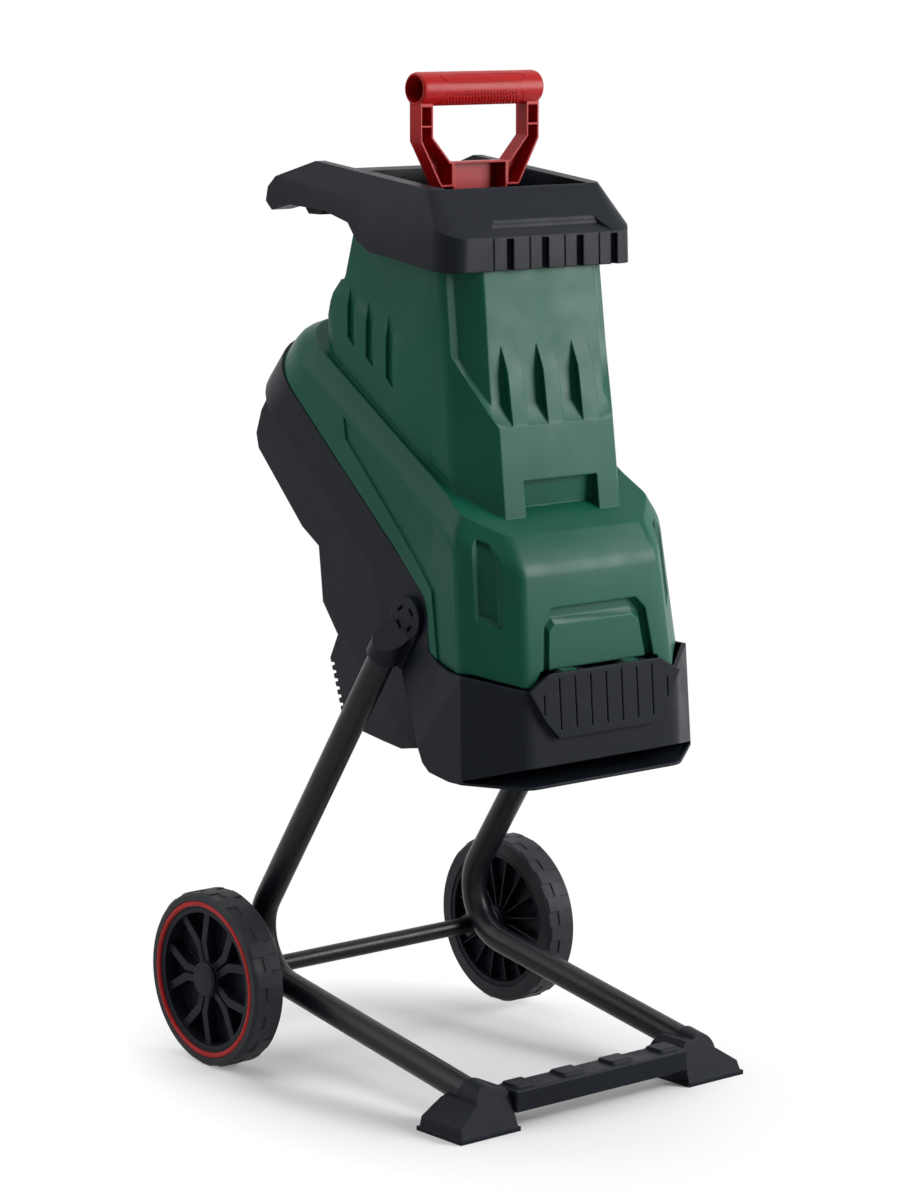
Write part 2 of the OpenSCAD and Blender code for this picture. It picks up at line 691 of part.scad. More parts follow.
module stator_core() {
    pole_half = 52;
    color("#7c7f84") drive_axis(motor_s) translate([0, 0, stator_top]) linear_extrude(stator_l) difference() {
        union() {
            difference() {
                circle(r = stator_r);
                circle(r = 38);
            }
            intersection() {
                difference() {
                    circle(r = 39);
                    circle(r = 26);
                }
                pair() polygon([[0, 0], [60, -60 * tan(pole_half)], [60, 60 * tan(pole_half)]]);
            }
        }
        for (a = stator_screw_a) rotate(a) translate([42, 0]) circle(r = 2.7);
    }
}
module field_coils() {
    color(copper) drive_axis(motor_s) pair() {
        translate([0, 0, stator_top - 6]) linear_extrude(stator_l + 12) for (m = [0, 1]) mirror([0, m])
            intersection() {
                difference() {
                    circle(r = 37.5);
                    circle(r = 28);
                }
                polygon([[6, 60], [60 / tan(56), 60], [0.2 * 60 / tan(56), 12], [1.2, 12]]);
            }
        for (z = [stator_top - 6, stator_top + stator_l + 0.2]) translate([0, 0, z]) linear_extrude(5.8)
            intersection() {
                difference() {
                    circle(r = 37.5);
                    circle(r = 30);
                }
                translate([6, -60]) square([60, 120]);
            }
    }
}
module stator_screws() {
    color(steel) drive_axis(motor_s) for (a = stator_screw_a) rotate([0, 0, a]) translate([42, 0, 0]) {
        translate([0, 0, stator_top + stator_l + 0.1]) cylinder(r = 4, h = 3);
        translate([0, 0, plate_top + plate_t - 8]) cylinder(r = 2.5, h = stator_top + stator_l - plate_top);
        translate([0, 0, plate_top + plate_t + 0.1])
            cylinder(r = 4, h = stator_top - plate_top - plate_t - 0.2);
    }
}
module motor_shaft() {
    color(steel) drive_axis(motor_s) {
        translate([0, 0, gear_top - 1]) rotate([0, 0, 180 / pinion_teeth])
            linear_extrude(gear_t + 2) polygon(tooth_ring(pinion_teeth, gear_module));
        translate([0, 0, gear_top + gear_t]) cylinder(r = 6, h = 118);
        translate([0, 0, 181]) cylinder(r = 5, h = 10);
    }
}
armature_r = 25.2;
armature_slots = 12;
module armature_core() {
    color("#6d7075") drive_axis(motor_s) translate([0, 0, stator_top + 1])
        linear_extrude(stator_l - 2) difference() {
        circle(r = armature_r);
        circle(r = 6);
        for (i = [0:armature_slots - 1]) rotate(360 * i / armature_slots) translate([14, -2]) square([14, 4]);
    }
}
module armature_windings() {
    color(copper) drive_axis(motor_s) {
        for (i = [0:armature_slots - 1]) rotate([0, 0, 360 * i / armature_slots])
            translate([14.3, -1.8, stator_top - 6]) cube([9.5, 3.6, stator_l + 12]);
        ring(23, 9, stator_top - 6, stator_top + 0.9);
        ring(23, 9, stator_top + stator_l - 0.9, stator_top + stator_l + 6);
    }
}
module commutator() {
    bars = 24;
    color(copper) drive_axis(motor_s) translate([0, 0, 160]) linear_extrude(15) difference() {
        circle(r = 15);
        circle(r = 6);
        for (i = [0:bars - 1]) rotate(360 * i / bars) translate([12, -0.4]) square([4, 0.8]);
    }
}
module cooling_fan() {
    blades = 13;
    color(black_plastic) drive_axis(motor_s) {
        ring(36, 6, 82, 84);
        ring(12, 6, 82, 93);
        for (i = [0:blades - 1]) rotate([0, 0, 360 * i / blades]) translate([14, -1, 83]) rotate([0, 0, 12])
            cube([21, 2, 9]);
    }
}
module brush_holders() {
    color("#4a3b2a") drive_axis(motor_s) pair() difference() {
        translate([17, -7, 160]) cube([36, 14, 14]);
        translate([10, -4.1, 162.9]) cube([38, 8.2, 8.2]);
    }
}
module carbon_brushes() {
    color("#2b2b2d") drive_axis(motor_s) pair() difference() {
        translate([14, -4, 163]) cube([20, 8, 8]);
        translate([0, 0, 150]) cylinder(r = 15.1, h = 40);
    }
}
module ball_bearing(r_out, r_in, z0, z1) {
    color(steel) difference() {
        ring(r_out, r_in, z0, z1);
        translate([0, 0, z0 - 1]) ring((r_out * 2 + r_in) / 3, (r_out + r_in * 2) / 3, 0, 1.8);
        translate([0, 0, z1 - 0.8]) ring((r_out * 2 + r_in) / 3, (r_out + r_in * 2) / 3, 0, 1.8);
    }
}
module motor_bearings() {
    drive_axis(motor_s) ball_bearing(14, 6 + fit, plate_top, plate_top + 8);
    drive_axis(motor_s) ball_bearing(13, 5 + fit, 183, 191);
}

// Spindle, drive gear and cutter
disc_top = 10;
module spindle() {
    color(steel) drive_axis(spindle_s) difference() {
        union() {
            translate([0, 0, disc_top + disc_t]) cylinder(r = 9, h = 19);
            translate([0, 0, disc_top + 0.2]) cylinder(r = 7, h = 9);
            translate([0, 0, 33]) cylinder(r = 8.5, h = 19);
            translate([0, 0, 51]) cylinder(r = 6, h = 29);
        }
        translate([0, 0, 0]) cylinder(r = 4.1, h = 32);
    }
}
module spindle_bearings() {
    drive_axis(spindle_s) ball_bearing(17.5, 8.5 + fit, 34.2, 44);
    drive_axis(spindle_s) ball_bearing(14, 6 + fit, plate_top, plate_top + 8);
}
module drive_gear() {
    color("#8d8f93") drive_axis(spindle_s) difference() {
        union() {
            translate([0, 0, gear_top]) linear_extrude(gear_t) polygon(tooth_ring(gear_teeth, gear_module));
            translate([0, 0, gear_top + gear_t - 1]) cylinder(r = 11, h = 5);
        }
        translate([0, 0, gear_top - 1]) cylinder(r = 6, h = 30);
        for (z = [gear_top - 5, gear_top + gear_t - 3.5]) translate([0, 0, z]) ring(24, 13, 0, 8.5);
    }
}
module knife_frame(i) {
    drive_axis(spindle_s) rotate([0, 0, 180 * i]) children();
}
module knife_disc() {
    color("#9fa2a6") difference() {
        union() {
            drive_axis(spindle_s) translate([0, 0, disc_top]) cylinder(r = disc_r, h = disc_t);
            drive_axis(spindle_s) translate([0, 0, disc_top + disc_t - 1]) cylinder(r = 20, h = 7);
            // Paddles under the disc that throw the chips into the chute
            for (i = [0, 1]) knife_frame(i) translate([-3, 24, disc_top + disc_t - 0.5])
                cube([6, disc_r - 28, 13]);
        }
        drive_axis(spindle_s) cylinder(r = 7 + 0.02, h = disc_top + disc_t);
        drive_axis(spindle_s) cylinder(r = 9 + 0.02, h = 40);
        // Slot in front of each knife
        for (i = [0, 1]) knife_frame(i) translate([28, -16, 0]) cube([knife_l, 12, 40]);
        for (i = [0, 1]) knife_frame(i) for (x = [44, 74]) translate([x, 6, 0]) cylinder(r = 3.1, h = 40);
    }
}
module knives() {
    edge = 8;
    color(steel) for (i = [0, 1]) knife_frame(i) difference() {
        translate([28, 0, disc_top]) rotate([90, 0, 90]) linear_extrude(knife_l)
            polygon([[-edge, -2.6], [16, -2.6], [16, -0.05], [-3.5, -0.05]]);
        for (x = [44, 74]) translate([x, 6, 0]) cylinder(r = 3.1, h = 40);
    }
}
module knife_screws() {
    color("#55585c") for (i = [0, 1]) knife_frame(i) for (x = [44, 74])
        translate([x, 6, disc_top - 2.7]) screw(5, 2.2, 3, 10);
}
module disc_bolt() {
    color("#55585c") drive_axis(spindle_s) {
        translate([0, 0, 7]) cylinder(r = 14, h = 2.9);
        translate([0, 0, 1.5]) cylinder(r = 7.5, h = 5.6, $fn = 6);
        translate([0, 0, 7]) cylinder(r = 4, h = 24);
    }
}

// Upper housing: skirt over the knife chamber and tower, one moulding
// Rounded edges a and b of a slanted front corner, and the next point c behind them
function front_corner(a, b, c) = concat(soft([0, a[1]], a, b, 6, 2), soft(a, b, c, 6, 2), [c]);
// Rings of the skirt in the joint frame, inset by t, right half from the front to the rear
function lower_skirt_ring(t) = both_sides3(raised(concat(
    front_corner([92 - t, -204 + 1.4 * t], [134 - 1.2 * t, -148 + 0.6 * t], [120 - t, -20]),
    [[117.8 - t, 30]],
    arc(52.8, 257, 65 - t, 0, 90, 9)
), -60 - 5 * t));
function sloped(p, top) = [for (q = p) [q[0], q[1], top - 0.15 * q[1]]];
function shoulder_ring(t) = both_sides3(sloped(concat(
    front_corner([80.6 - t, -46 + 1.2 * t], [122 - 1.2 * t, 3.4 + 0.5 * t], [117 - t, 40]), [[115.5 - t, 80]],
    arc(52.5, 253, 63 - t, 0, 90, 9)
), 72 - 0.3 * t));
function top_ring(t) = both_sides3(sloped(concat(
    front_corner([79 - t, -13.8 + t], [110 - t, 20 + 0.5 * t], [106 - t, 50]), [[105 - t, 80]],
    arc(52.5, 253, 52 - t, 0, 90, 9)
), 87 - t));
module skirt_form(t) {
    low = lower_skirt_ring(t);
    top = top_ring(t);
    tilted() loft(concat([low], soft_rings(low, shoulder_ring(t), top, 7, 2), [top]));
}
// Tower: side profile, front profile and plan with slanted front corners, inset by t
tower_top = 786;
module tower_form(t, top) {
    plan = both_sides(concat(
        front_corner([66.5 - 0.4 * t, -138 + t], [96.5 - t, -102 + 0.5 * t], [96.5 - t, 40 - t]),
        [[84 - t, 90 - t]]
    ));
    lean = 0.135;
    intersection() {
        across(far, [
            [-157 + t, 480], [-150 + t, 538], [-125 + t, 746], [-120 + t, top], [25 - t, top], [39 - t, 738],
            [50 - t, 720], [59 - t, 700], [66 - t, 673], [70 - t, 640], [-20, 500]
        ]);
        frontal(-far, far, [[-98 + t, 480], [98 - t, 480], [94.5 - t, top], [-94.5 + t, top]]);
        loft([leaned(plan, 470, lean, 640), leaned(plan, 800, lean * 0.9, 640)]);
    }
}
// Recess across the tower's front and slanted corners
recess_depth = 9;
recess_line = both_sides([[69, 606], [94, 673], [93, 800]]);
module tower_recess() {
    difference() {
        frontal(-far, -60, recess_line);
        translate([0, recess_depth, 0]) tower_form(0, 840);
        // Ramp at the lower end of the recess, and bevels along its edges on the slanted corners
        across(far, [[-145, 605.8], [-90, 698.9], [-60, 698.9], [-60, 590], [-145, 590]]);
        pair() tower_corner() translate([16.4, 18.7, 0]) rotate([0, 0, 85.7]) translate([80, 0, 0])
            across(80, [[-12, 11.4], [-12, -14], [14.7, -14]]);
    }
}
// Frame on the slanted front corner of the tower: x along the corner, y up it, z out of it
module tower_corner() {
    translate([81.5, -120, 640]) rotate([0, 0, 50.2]) rotate([85.06, 0, 0]) children();
}
module wedge_fins() {
    for (x = [-41.5, 0, 41.5])
        across_at(x, 9.2, [[-141.6, 609], [-133.4, 661], [-122, 687], [-110, 687], [-110, 609]]);
}
// Frame on the side wall of the tower: x to the rear, y up the wall, z out of it
module tower_side() {
    translate([95.48, 0, 700]) rotate([0, -0.655, 0]) rotate([90, 0, 90]) children();
}
// Raised lower panel on each side of the tower, with a wide bevel and three slots open at the top
module side_panel() {
    rise = 3.5;
    base = [[-86, -140], [62, -60], [62, 45], [40, 31], [-13, 10], [-61, -11.5], [-70.5, -18], [-73.5, -32]];
    face = [[-66, -140], [62, -60], [62, 28], [42, 16], [-11, -9], [-44, -24], [-50, -30], [-54, -46]];
    intersection() {
        tower_side() difference() {
            loft([raised(base, -5), raised(base, 0), raised(face, rise)]);
            for (q = [[31.5, -17], [5, -33], [-23.5, -49.5]]) linear_extrude(10)
                polygon([q, q + [0, 60], q + [-10, 60], q + [-10, -9]]);
        }
        tower_form(-rise, tower_top);
    }
}
// Frame on the slanted front corner of the skirt: x along the corner, y up it, z out of it
module chamfer_frame() {
    translate([105, -172.5, 480]) rotate([0, 0, 39.5]) rotate([82, 0, 0]) translate([0, 0, -2.7]) children();
}
module chamfer_window() {
    outer = [[-12, -37.8], [11.6, -28.9], [15.7, 48], [-1.6, 39.8], [-10.2, 20.8]];
    inner = [[-6.4, -29.5], [7.9, -23.8], [11.3, 41.2], [0.4, 37.1], [-4.1, 21.4]];
    difference() {
        chamfer_frame() loft([raised(inner, -16), raised(inner, -5.4), raised(outer, -2), raised(outer, 6)]);
        skirt_form(3.2);
    }
}
module front_arch() {
    outer = both_sides([[69, 380], [60.5, 448], [50, 459]]);
    inner = both_sides([[62, 370], [54.5, 445], [47, 452]]);
    low = both_sides([[61, 370], [53, 438], [46, 444]]);
    translate([0, -201, 393]) rotate([-7.9, 0, 0]) translate([0, 0, -393]) difference() {
        frontal(-20, 6.2, outer);
        rotate([90, 0, 0]) loft([raised(inner, -7), raised(low, -2.4)]);
    }
}
// Thicker walls behind the corner windows and the arch
module window_backing() {
    pair() chamfer_frame() translate([-18, -44, -10]) cube([38, 92, 60]);
    translate([0, -201, 393]) rotate([-7.9, 0, 0]) translate([0, 0, -393])
        frontal(-40, 9.5, [[-75, 370], [-66, 464], [66, 464], [75, 370]]);
}
module upper_housing() {
    // The gap widens towards the hinge, where the front edge dips as the hopper opens
    lift = joint_gap * [-0.6, 0.8];
    hinge_lift = joint_gap * [0, 3];
    keep = concat(
        [for (q = joint_line) q + lift + (q[1] < 380 ? hinge_lift : [0, 0])], [[-230, 900], [148, 900]]
    );
    color(green_plastic) difference() {
        union() {
            difference() {
                intersection() {
                    union() {
                        skirt_form(0);
                        difference() {
                            tower_form(0, tower_top);
                            tower_recess();
                            // Notch at the foot of the tower's front
                            frontal(-200, -139, [[-43.5, 520], [-43.5, 565], [43.5, 565], [43.5, 520]]);
                        }
                        intersection() {
                            wedge_fins();
                            tower_form(0.1, tower_top);
                        }
                        pair() side_panel();
                    }
                    across(far, keep);
                }
                difference() {
                    skirt_form(wall);
                    window_backing();
                }
                intersection() {
                    tower_form(wall, tower_top + 10);
                    translate([0, recess_depth + wall, 0]) tower_form(0, tower_top + 10);
                }
                pair() chamfer_window();
                front_arch();
                pair() side_recess();
            }
            cover_bosses();
            // Column for the locking knob
            tilted() difference() {
                translate([0, lock_s, 1]) cylinder(r = 12, h = 46);
                translate([0, lock_s, 0]) cylinder(r = 4.6, h = 80);
            }
            // Tongue that works the interlock switch
            tilted() translate([57.5, 295, -14]) cube([3, 4, 56]);
        }
        pair() chamfer_window();
        tilted() translate([0, lock_s, -10]) cylinder(r = 4.6, h = 80);
        tilted() pair() for (s = cover_boss_s) translate([cover_boss_x(s), s, 0]) cylinder(r = 2.05, h = 24);
        // Room for the hinge ears and the tab of the chute
        frontal(-220, -180, [[-77, 370], [-77, 394], [-69, 405], [69, 405], [77, 394], [77, 370]]);
    }
    color(green_plastic) pair() hinge_barrel();
}
// Barrel of the hopper hinge with its web up to the front wall
module hinge_barrel() {
    difference() {
        union() {
            translate([28, hinge_y, hinge_z]) rotate([0, 90, 0]) cylinder(r = barrel_r, h = 17.4);
            translate([28, hinge_y + 2.7, hinge_z]) cube([17.4, 6, 12.5]);
        }
        translate([20, hinge_y, hinge_z]) rotate([0, 90, 0]) cylinder(r = hinge_pin_r + fit, h = 40);
    }
}
// Shallow panel on each side of the skirt
module side_recess() {
    difference() {
        tilted() translate([100, 0, 0]) rotate([90, 0, 90]) linear_extrude(60)
            polygon([[188, 36], [172, 23], [-4, 13], [-64, -32], [-103, -32], [-13, 50], [0, 60]]);
        skirt_form(1.8);
    }
}
// Bosses for the screws of the chamber cover
module cover_bosses() {
    intersection() {
        skirt_form(1);
        tilted() pair() for (s = cover_boss_s) translate([cover_boss_x(s), s, 6.2]) cylinder(r = 6, h = 120);
    }
}

// Feed funnel inside the tower, with a straight throat down to the knives
throat_y = -28;
module funnel_form(t) {
    half = throat_w / 2 + wall - t;
    front = throat_y - throat_l / 2 - wall + t;
    top = both_sides([[56 - 0.5 * t, -103 + t], [86 - t, -68 + 0.5 * t], [86 - t, 14 - t]]);
    neck = both_sides([[half - 6, front], [half, front + 6], [half, throat_y + throat_l / 2 + wall - t]]);
    loft([raised(neck, 480), raised(neck, 640), raised(top, tower_top + (t > 0 ? 4 : 2))]);
}
module feed_funnel() {
    flange = both_sides([[57, -110], [90, -71], [90, 20]]);
    color(black_plastic) difference() {
        union() {
            funnel_form(0);
            translate([0, 0, tower_top + 0.1]) linear_extrude(2.9) polygon(flange);
        }
        funnel_form(wall);
        tilted() translate([-far, -far, -far]) cube([2 * far, 2 * far, far + 6.2]);
    }
}
// Plate that closes the knife chamber, screwed under the upper housing
module chamber_cover() {
    hole_w = throat_w / 2 + wall + 0.3;
    color(black_plastic) difference() {
        tilted() difference() {
            intersection() {
                translate([0, 0, 2]) linear_extrude(4) polygon(both_sides(concat(
                    [[84, -62], [108, -20], [109, 20]], arc(50, 250, 59, 0, 90, 8))));
                translate([-far, -60, 0]) cube([2 * far, 4 * far, 10]);
            }
            translate([0, lock_s, 0]) cylinder(r = 13, h = 20);
            translate([54, 290, 0]) cube([10, 14, 20]);
            pair() for (s = cover_boss_s) translate([cover_boss_x(s), s, 0]) cylinder(r = 2.3, h = 20);
            pair() translate([36, 137, 0]) cylinder(r = 2.6, h = 20);
        }
        translate([-hole_w + 3.3, throat_y - throat_l / 2, 400]) cube([2 * hole_w - 6.6, throat_l, 300]);
    }
}
cover_boss_s = [-30, 120, 230];
function cover_boss_x(s) = s < 0 ? 92 : 100;
module counter_knife() {
    color(steel) tilted() difference() {
        translate([-throat_w / 2 - 2, 129, -4.8]) cube([throat_w + 4, 14, 6.7]);
        pair() translate([36, 137, -10]) cylinder(r = 2.6, h = 20);
    }
}

// Collar round the hopper mouth, with the transport handle behind it
function collar_ring(front, half_w, corner, rear, z_front, z_mid, z_rear) = both_sides3([
    for (q = concat(
        arc(half_w - corner, front + corner, corner, -90, 0, 6), [[half_w, -20], [half_w - 2, rear]]
    ))
        [q[0], q[1], q[1] < -80 ? z_front + (z_mid - z_front) * (q[1] - front) / (-80 - front)
                                : z_mid + (z_rear - z_mid) * (q[1] + 80) / (rear + 80)]
]);
module collar_form() {
    intersection() {
        loft([
            collar_ring(-126, 112.5, 24, 138, 735, 735, 735),
            collar_ring(-125, 112, 24, 138, 778, 797, 826),
            collar_ring(-89, 100, 10, 130, 819.6, 820.6, 845)
        ]);
        across(far, [
            [-130, 749], [-115, 749], [-92, 752], [-44, 759], [-16, 762], [3, 772], [15, 787], [50, 796],
            [100, 799],
            [128, 793], [137, 801], [134, 814], [122, 824], [74, 840], [52, 840], [23, 837], [-89, 819.8],
            [-130, 819.8]
        ]);
    }
}
module hopper_collar() {
    bar_y = 90;
    color(black_plastic) difference() {
        union() {
            difference() {
                collar_form();
                // Mouth of the hopper
                loft([
                    raised(both_sides([[84, -103], [84, 11]]), 785),
                    raised(both_sides([[84, -76], [84, 20]]), 850)
                ]);
                // Room for the top of the tower and the flange of the funnel
                translate([0, 0, 700]) linear_extrude(79)
                    polygon(both_sides([[70, -117], [88, -105], [98, -88], [98, 60]]));
                translate([0, 0, 700]) linear_extrude(tower_top + 3.4 - 700)
                    polygon(both_sides([[70, -113], [88, -100], [98, -86], [98, 60]]));
                // Gap for the hand, front and back of the grip
                translate([-88, 34, 700]) cube([176, 200, 200]);
            }
            // Transport grip between the arms
            across(90, [
                [bar_y - 15, 797], [bar_y - 9, 790], [bar_y + 9, 790], [bar_y + 15, 797], [bar_y + 14, 818],
                [bar_y + 6, 826], [bar_y - 6, 826], [bar_y - 14, 818]
            ]);
        }
        // Finger recess with slanted ends in the sloping front
        intersection() {
            rotate([90, 0, 0]) loft([
                raised([[72, 777], [66, 800], [-46, 800], [-52, 777]], 111),
                raised([[86, 777], [74, 800], [-54, 800], [-66, 777]], 127)
            ]);
            across(far, [[-127, 777], [-124.6, 778.5], [-115, 785.2], [-112.5, 792.4], [-112.5, 800], [-127, 800]]);
        }
        // Wide and narrow grooves of the front band
        for (x = [-41, 0, 41, 82]) translate([x - 4.2, -140, 730]) cube([8.4, 19.8, 46.5]);
        for (x = [-60, -18, 23, 64]) translate([x - 0.7, -140, 730]) cube([1.4, 16.4, 47.5]);
    }
}
module hopper_screws() {
    color(steel) {
        tilted() pair() for (s = cover_boss_s) translate([cover_boss_x(s), s, 1.9]) screw(4.4, 2, 2, 18);
        tilted() pair() translate([36, 137, -4.9]) screw(4.4, 1.6, 2.4, 9);
    }
}
module hinge_pin() {
    color(steel) translate([-53, hinge_y, hinge_z]) rotate([0, 90, 0]) cylinder(r = hinge_pin_r, h = 106);
}
module lock_knob() {
    lobes = 6;
    base = 48.2;
    color(black_plastic) tilted() translate([0, lock_s, 0]) {
        translate([0, 0, base]) linear_extrude(14) difference() {
            circle(r = 20);
            for (i = [0:lobes - 1]) rotate(360 * (i + 0.5) / lobes) translate([23.5, 0]) circle(r = 6.5);
        }
        translate([0, 0, base - 1]) cylinder(r = 11, h = 18);
        translate([0, 0, -22]) cylinder(r = 4, h = 72);
    }
}

// Pusher with its D-handle, a channel section open to the front
module pusher() {
    py = -29;
    grip_z = 905;
    grip_r = grip_d / 2;
    arm_t = 15;
    web = 3;
    rib = 1.8;
    stem = 31.5;
    side = grip_l / 2 - 1;
    rib_z = 871;
    body_w = 84;
    body_t = 34;
    outline = [[side, grip_z - 8], [side, 859], [46, 818], [stem, 818], [stem, 690], [0, 690]];
    inside = [[34.6, 840], [side - 14.5, 862], [side - 14.5, grip_z - 8]];
    // Hollows of the channel: above the cross rib of an arm, below it down to the stem, and in the stem
    upper_hollow = [
        [side - rib, 889], [side - 12.7, 889], [side - 12.7, rib_z + rib], [side - rib, rib_z + rib]
    ];
    lower_hollow = [
        [side - rib, rib_z], [side - 12.7, rib_z], [side - 12.7, 861.3], [35.6, 838.2], [stem + rib, 838.2],
        [stem + rib, 819.8], [44.9, 819.8], [side - rib, 859.5]
    ];
    stem_hollow = [[rib - stem, 838.2], [stem - rib, 838.2], [stem - rib, 705], [rib - stem, 705]];
    front = py - arm_t / 2;
    color(red_plastic) difference() {
        union() {
            // Grip tube with rounded ends
            translate([-grip_l / 2, py, grip_z]) rotate([0, 90, 0]) rotate_extrude() polygon([
                [grip_r - 2.8, 0], [grip_r - 2, 0], [grip_r - 0.7, 1.2], [grip_r, 4], [grip_r, grip_l - 4],
                [grip_r - 0.7, grip_l - 1.2], [grip_r - 2, grip_l], [grip_r - 2.8, grip_l]
            ]);
            difference() {
                frontal(front, front + arm_t, both_sides(outline));
                frontal(front - 5, front + arm_t + 5, both_sides(inside));
                translate([-grip_l / 2, py, grip_z]) rotate([0, 90, 0]) cylinder(r = grip_r - 1, h = grip_l);
                pair() frontal(front - 1, front + arm_t - web, upper_hollow);
                pair() frontal(front - 1, front + arm_t - web, lower_hollow);
                frontal(front - 1, front + arm_t - web, stem_hollow);
            }
            // Plunger with its stop shoulder
            difference() {
                union() {
                    translate([-body_w / 2, py - body_t / 2, 480]) cube([body_w, body_t, 222]);
                    loft([
                        raised(both_sides([[40, py - 19], [47.6, py - 13], [47.6, py + 19]]), 648),
                        raised(both_sides([[44.5, py - 27.5], [59, py - 20], [59, py + 19]]), 694),
                        raised(both_sides([[44.5, py - 27.5], [59, py - 20], [59, py + 19]]), 697)
                    ]);
                }
                tilted() translate([-far, -far, -far]) cube([2 * far, 2 * far, far + 28]);
            }
        }
        // Hollow of the plunger, open at the top in front of and behind the stem
        translate([-body_w / 2 + 3, py - body_t / 2 + 3, 612]) cube([body_w - 6, body_t / 2 - 5, 100]);
        translate([-body_w / 2 + 3, py + 2, 612]) cube([body_w - 6, body_t / 2 - 5, 100]);
    }
}

left_leg_tube();
right_leg_tube();
axle_tube();
axle();
axle_washers();
axle_caps();
left_foot();
right_foot();
foot_rail();
foot_screws();
left_leg_bracket();
right_leg_bracket();
bracket_bolts();
left_tyre();
left_rim();
left_trim_ring();
left_hub_cap();
right_tyre();
right_rim();
right_trim_ring();
right_hub_cap();
lower_housing();
motor_cover();
cover_screws();
switch_panel();
on_button();
off_button();
reset_button();
power_inlet();
capacitor();
interlock_switch();
gear_plate();
gear_plate_screws();
stator_core();
field_coils();
stator_screws();
motor_shaft();
armature_core();
armature_windings();
commutator();
cooling_fan();
brush_holders();
carbon_brushes();
motor_bearings();
spindle();
spindle_bearings();
drive_gear();
knife_disc();
knives();
knife_screws();
disc_bolt();
upper_housing();
feed_funnel();
chamber_cover();
counter_knife();
hopper_collar();
hopper_screws();
hinge_pin();
lock_knob();
pusher();
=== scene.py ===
"""Garden shredder on a wheeled stand: looks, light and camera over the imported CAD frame."""
import json
import math

import bpy
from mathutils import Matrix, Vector


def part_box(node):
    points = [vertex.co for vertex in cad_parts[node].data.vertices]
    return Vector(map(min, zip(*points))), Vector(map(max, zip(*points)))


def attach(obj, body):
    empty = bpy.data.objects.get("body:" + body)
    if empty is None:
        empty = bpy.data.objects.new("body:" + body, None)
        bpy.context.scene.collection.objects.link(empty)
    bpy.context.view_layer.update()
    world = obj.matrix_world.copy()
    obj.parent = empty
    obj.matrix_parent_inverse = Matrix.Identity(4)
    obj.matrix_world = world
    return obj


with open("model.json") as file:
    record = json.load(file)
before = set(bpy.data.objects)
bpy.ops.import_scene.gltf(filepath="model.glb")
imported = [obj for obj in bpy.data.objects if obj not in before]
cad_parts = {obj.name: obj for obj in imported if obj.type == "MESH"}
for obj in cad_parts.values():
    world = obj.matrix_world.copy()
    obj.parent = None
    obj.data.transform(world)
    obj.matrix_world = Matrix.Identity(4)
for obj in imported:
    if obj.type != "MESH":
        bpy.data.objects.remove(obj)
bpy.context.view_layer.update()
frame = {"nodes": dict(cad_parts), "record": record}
nodes = frame["nodes"]
slot_of = {s["node"]: s["material_slot"] for s in frame["record"]["subparts"]}

# Camera, fitted to the photograph (metres and degrees, row frame)
CAMERA_AT = Vector((-2.2098, -2.6301, 0.9998))
CAMERA_AZIMUTH = -39.966
CAMERA_PITCH = 9.317
CAMERA_LENS = 113.3
SENSOR = 36.0

# Colours, linear
BLACK = (0.0048, 0.0066, 0.0108)
TUBE_BLACK = (0.0050, 0.0062, 0.0084)
TYRE_BLACK = (0.0160, 0.0175, 0.0215)
GREEN = (0.0032, 0.0700, 0.0420)
RED = (0.3600, 0.0075, 0.0080)
STEEL = (0.24, 0.245, 0.26)
PALE_FLOOR = (0.90, 0.90, 0.905)
WHITE = (1.0, 1.0, 1.0, 1.0)

# Area lamps: name, place, side in metres, power in watts
LAMPS = (
    ("key", (1.25, -1.3, 1.15), 0.9, 39.0),
    ("low", (2.6, -1.5, 0.8), 1.4, 11.0),
    ("top", (0.0, 0.3, 3.3), 3.0, 58.0),
    ("side", (-2.4, 1.4, 2.1), 2.4, 38.0),
)
LAMP_AIM = Vector((0.0, 0.0, 0.65))
AMBIENT = 0.05

# Floor, in metres: inside an ellipse it shows the object's shadow, outside it is white to the camera
FLOOR_HALF = 30.0
SHADOW_CENTRE = (-0.03, -0.05)
SHADOW_REACH = (0.25, 0.36)
SHADOW_EDGE = (0.70, 1.08)  # where it turns white, in shares of the reach
SHADOW_LIFT = 0.08  # share of white inside

# Edge rounding per node, metres
ROUNDING = {
    "upper_housing": 0.0016, "lower_housing": 0.0016, "hopper_collar": 0.0016, "pusher": 0.0012,
    "motor_cover": 0.0010, "left_foot": 0.0014, "right_foot": 0.0014, "foot_rail": 0.0014,
    "left_leg_bracket": 0.0008, "right_leg_bracket": 0.0008, "left_tyre": 0.0008, "right_tyre": 0.0008,
    "left_rim": 0.0006, "right_rim": 0.0006, "switch_panel": 0.0005, "power_inlet": 0.0005,
    "on_button": 0.0008, "off_button": 0.0008, "reset_button": 0.0006, "lock_knob": 0.0010,
    "left_hub_cap": 0.0006, "right_hub_cap": 0.0006, "feed_funnel": 0.0008, "axle_tube": 0.0005,
}
EDGE_ANGLE = math.radians(32)
SMOOTH_ANGLE = math.radians(30)
WELD_DISTANCE = 0.00002

# Grip of the pusher: a tube along X under the top of the pusher's box
GRIP_R = 0.015
GRIP_Y = -0.029
GRIP_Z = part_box("pusher")[1][2] - GRIP_R

# Raised dots on the grip
DOT_PITCH = 0.0037
DOT_ROW_PITCH = 0.0034
DOT_ROWS = 5
DOT_FIRST_ROW = -0.0050  # round the grip from its front
DOT_ROW_HALF = 0.040
DOT_ROW_GROWTH = 0.0016  # each row reaches further out than the row above
DOT_R = 0.0013
DOT_SIDES = 8
DOT_RINGS = ((1.0, -0.0003), (0.65, 0.00065))  # share of the radius, height
DOT_PEAK = 0.0009

